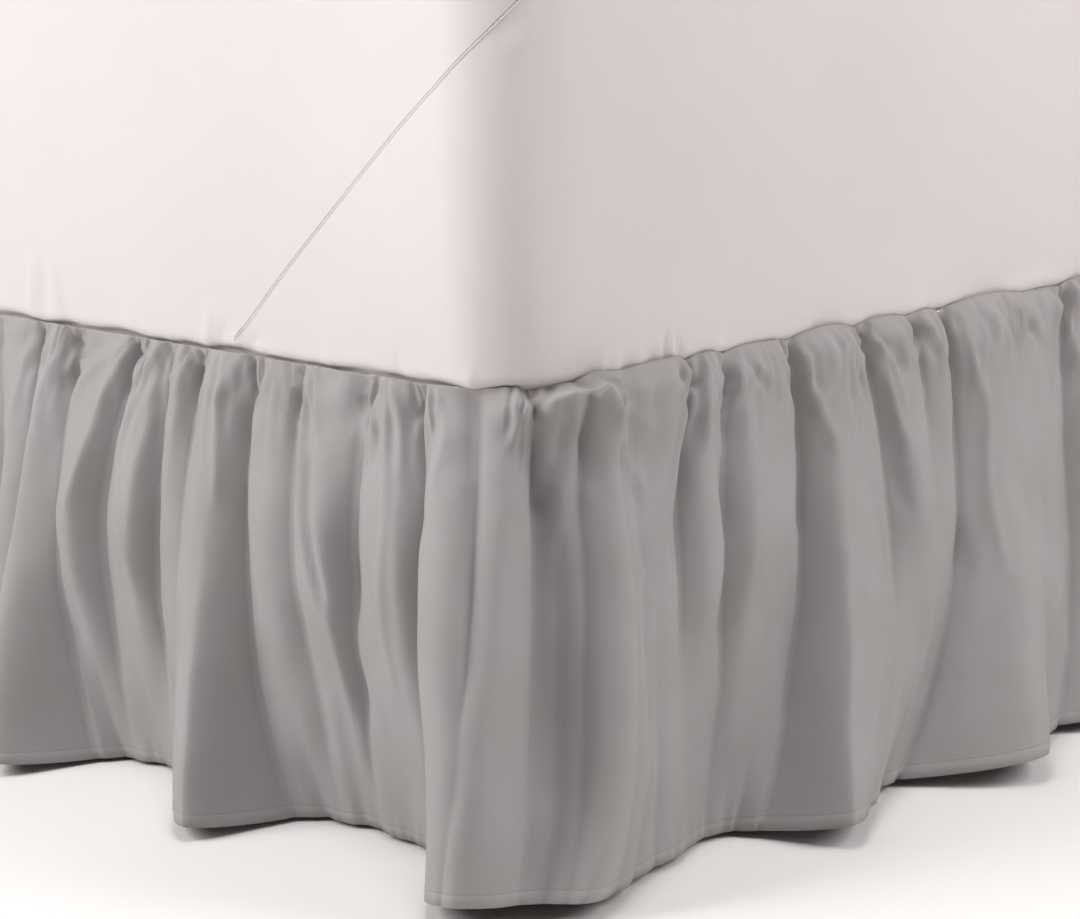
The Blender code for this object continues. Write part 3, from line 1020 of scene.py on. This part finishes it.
# The platform panel, whose white edge peeps out above the ruffle on the right
panel = {
    "thickness": 1.0 * mm,
    "rise": 2.4 * mm,
    "turnUp": 1.6 * mm,  # how far out the edge comes before it has turned up
    "leastPeep": 0.05 * mm,
    "edgeStep": 2.5 * mm,
    "fineLength": 0.75,  # the stretch from the foot that the camera sees
    # along from the corner, width and how far it peeps out, in mm
    "peeps": ((80, 7, 6), (186, 6, 7), (226, 6, 6), (302, 10, 4), (352, 8, 4), (508, 10, 5), (640, 8, 5)),
}


def buildPanel():
    s = panel
    low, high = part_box("platform_panel")
    radius = bed["seamCorner"] - bed["panelInset"]
    middle = (low.x + high.x) / 2
    curved = low.y + radius * (1 - np.cos(np.linspace(0, math.pi / 2, 12)))
    fineEnd = low.y + s["fineLength"]
    fine = np.arange(curved[-1] + s["edgeStep"], fineEnd, s["edgeStep"])
    y = np.concatenate([curved, fine, np.linspace(fineEnd, high.y, 60)])[:, None]
    intoCorner = np.clip(radius - (y - low.y), 0, None)
    reach = high.x - middle - radius + np.sqrt(np.clip(radius**2 - intoCorner**2, 0, None))
    # Columns: share of the half width, then how far the peeping edge has come out and up
    shares = (-1, -0.97, -0.8, -0.4, 0, 0.4, 0.8, 0.93, 0.97, 0.985, 0.993, 1)
    turned = [(1, 0.2, 0.75), (1, 0.55, 1.0), (1, 0.85, 0.95), (1, 1.0, 0.6)]
    share, outPart, upPart = np.array([(share, 0, 0) for share in shares] + turned).T
    along = y - low.y - radius + cornerArc / 2
    peep = sum(out * mm * np.exp(-(((along / mm - at) / wide) ** 2)) for at, wide, out in s["peeps"])
    peep = np.where(peep < s["leastPeep"], 0, peep)
    lift = s["rise"] * (1 - np.exp(-peep / s["turnUp"]))
    points = np.empty((len(y), len(share), 3))
    points[..., 0] = middle + reach * share + peep * outPart
    points[..., 1] = y
    points[..., 2] = high.z + lift * upPart
    # The edge columns meet where nothing peeps out
    look = clothLook("white platform cloth", panelLook)
    cloth = gridPiece("platform_cloth", points, look, mergeWithin=0.01 * mm)
    thick = cloth.modifiers.new("cloth thickness", "SOLIDIFY")
    thick.thickness = s["thickness"]
    thick.offset = -1.0
    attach(cloth, "root")
    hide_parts("platform_panel")
    return cloth


platformCloth = buildPanel()


# The base: a padded box in woven cover cloth, with a welt round its upper and lower edges
base = {
    "corner": 0.056,
    "edge": 10 * mm,
    "welt": 4 * mm,
    "bead": 3 * mm,  # how far a welt stands out
    "belly": 3 * mm,
    "ripple": 0.5 * mm,
}


def buildBase():
    s = base
    low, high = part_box("bed_base")
    radius = s["corner"]
    sides = np.linspace(0, high.y - low.y - 2 * radius, 120)
    ends = np.linspace(0, high.x - low.x - 2 * radius, 60)
    x, y, outX, outY = roundedRing(high.x, low.y, low.x, high.y, radius, sides, ends, 6)
    tall = high.z - low.z
    # Rows up the side: inward from the outline and up from the bottom
    turn = np.linspace(0, math.pi / 2, 6)
    profile = [(s["edge"] * (1 - math.sin(t)), s["edge"] * (1 - math.cos(t))) for t in turn]
    between = tall - 2 * s["edge"] - 8 * s["welt"]
    for middle in (s["edge"] + 2 * s["welt"], tall - s["edge"] - 2 * s["welt"]):
        if middle > tall / 2:
            for part in np.linspace(0.12, 0.88, 14):
                profile.append((0, s["edge"] + 4 * s["welt"] + part * between))
        for angle in np.linspace(-math.pi / 2, math.pi / 2, 9):
            out, rise = s["bead"] * math.cos(angle), s["bead"] * math.sin(angle)
            profile.append((-out, middle + rise))
    profile += [(s["edge"] * (1 - math.cos(t)), tall - s["edge"] + s["edge"] * math.sin(t)) for t in turn]
    clear = s["welt"]  # the outline is drawn in so that the welts stay inside the solid
    places = np.arange(len(x))  # the ripple of the welts is the same at both ends of the ring
    ripple = s["ripple"] * np.sin(0.9 * np.minimum(places, places[::-1]))
    rows = [(*shrunkRing(x, y, share), np.full_like(x, low.z)) for share in (0.0, 0.4, 0.8, 0.96)]
    for inward, up in profile:
        share = up / tall
        drawn = clear + inward - s["belly"] * (1 - (2 * share - 1) ** 2) + ripple * (inward < 0)
        rows.append((x - outX * drawn, y - outY * drawn, np.full_like(x, low.z + up)))
    rows += [(*shrunkRing(x, y, share), np.full_like(x, high.z)) for share in (0.96, 0.8, 0.4, 0.0)]
    points = np.stack([np.stack(row, axis=1) for row in rows])
    made = gridPiece("base_box", points, clothLook("pale base cover", baseLook), mergeWithin=0.02 * mm)
    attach(made, "root")
    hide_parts("bed_base")


buildBase()

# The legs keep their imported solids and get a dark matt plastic
legLook = {
    "colour": (0.028, 0.028, 0.03),
    "worn": (0.05, 0.05, 0.052),
    "roughness": (0.42, 0.6),
    "grain": 900.0,
    "smudge": 22.0,
}


def finishLegs(s):
    look, nodes, links, shader = newLook("dark leg plastic")
    place = nodes.new("ShaderNodeTexCoord")
    grain = nodes.new("ShaderNodeTexNoise")
    grain.inputs["Scale"].default_value = s["grain"]
    links.new(place.outputs["Object"], grain.inputs["Vector"])
    smudge = nodes.new("ShaderNodeTexNoise")
    smudge.inputs["Scale"].default_value = s["smudge"]
    smudge.inputs["Detail"].default_value = 4.0
    links.new(place.outputs["Object"], smudge.inputs["Vector"])
    tint = nodes.new("ShaderNodeMix")
    tint.data_type = "RGBA"
    tint.inputs["A"].default_value = (*s["colour"], 1)
    tint.inputs["B"].default_value = (*s["worn"], 1)
    links.new(smudge.outputs["Fac"], tint.inputs["Factor"])
    links.new(tint.outputs["Result"], shader.inputs["Base Color"])
    gloss = nodes.new("ShaderNodeMapRange")
    gloss.inputs["To Min"].default_value, gloss.inputs["To Max"].default_value = s["roughness"]
    links.new(smudge.outputs["Fac"], gloss.inputs["Value"])
    links.new(gloss.outputs[0], shader.inputs["Roughness"])
    bump = nodes.new("ShaderNodeBump")
    bump.inputs["Distance"].default_value = 0.2 * mm
    bump.inputs["Strength"].default_value = 0.3
    links.new(grain.outputs["Fac"], bump.inputs["Height"])
    links.new(bump.outputs[0], shader.inputs["Normal"])
    for number in range(1, 7):
        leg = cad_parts[f"leg_{number}"]
        for slot in leg.material_slots:
            slot.material = look


finishLegs(legLook)
print("mattress, panel, base and legs ready")
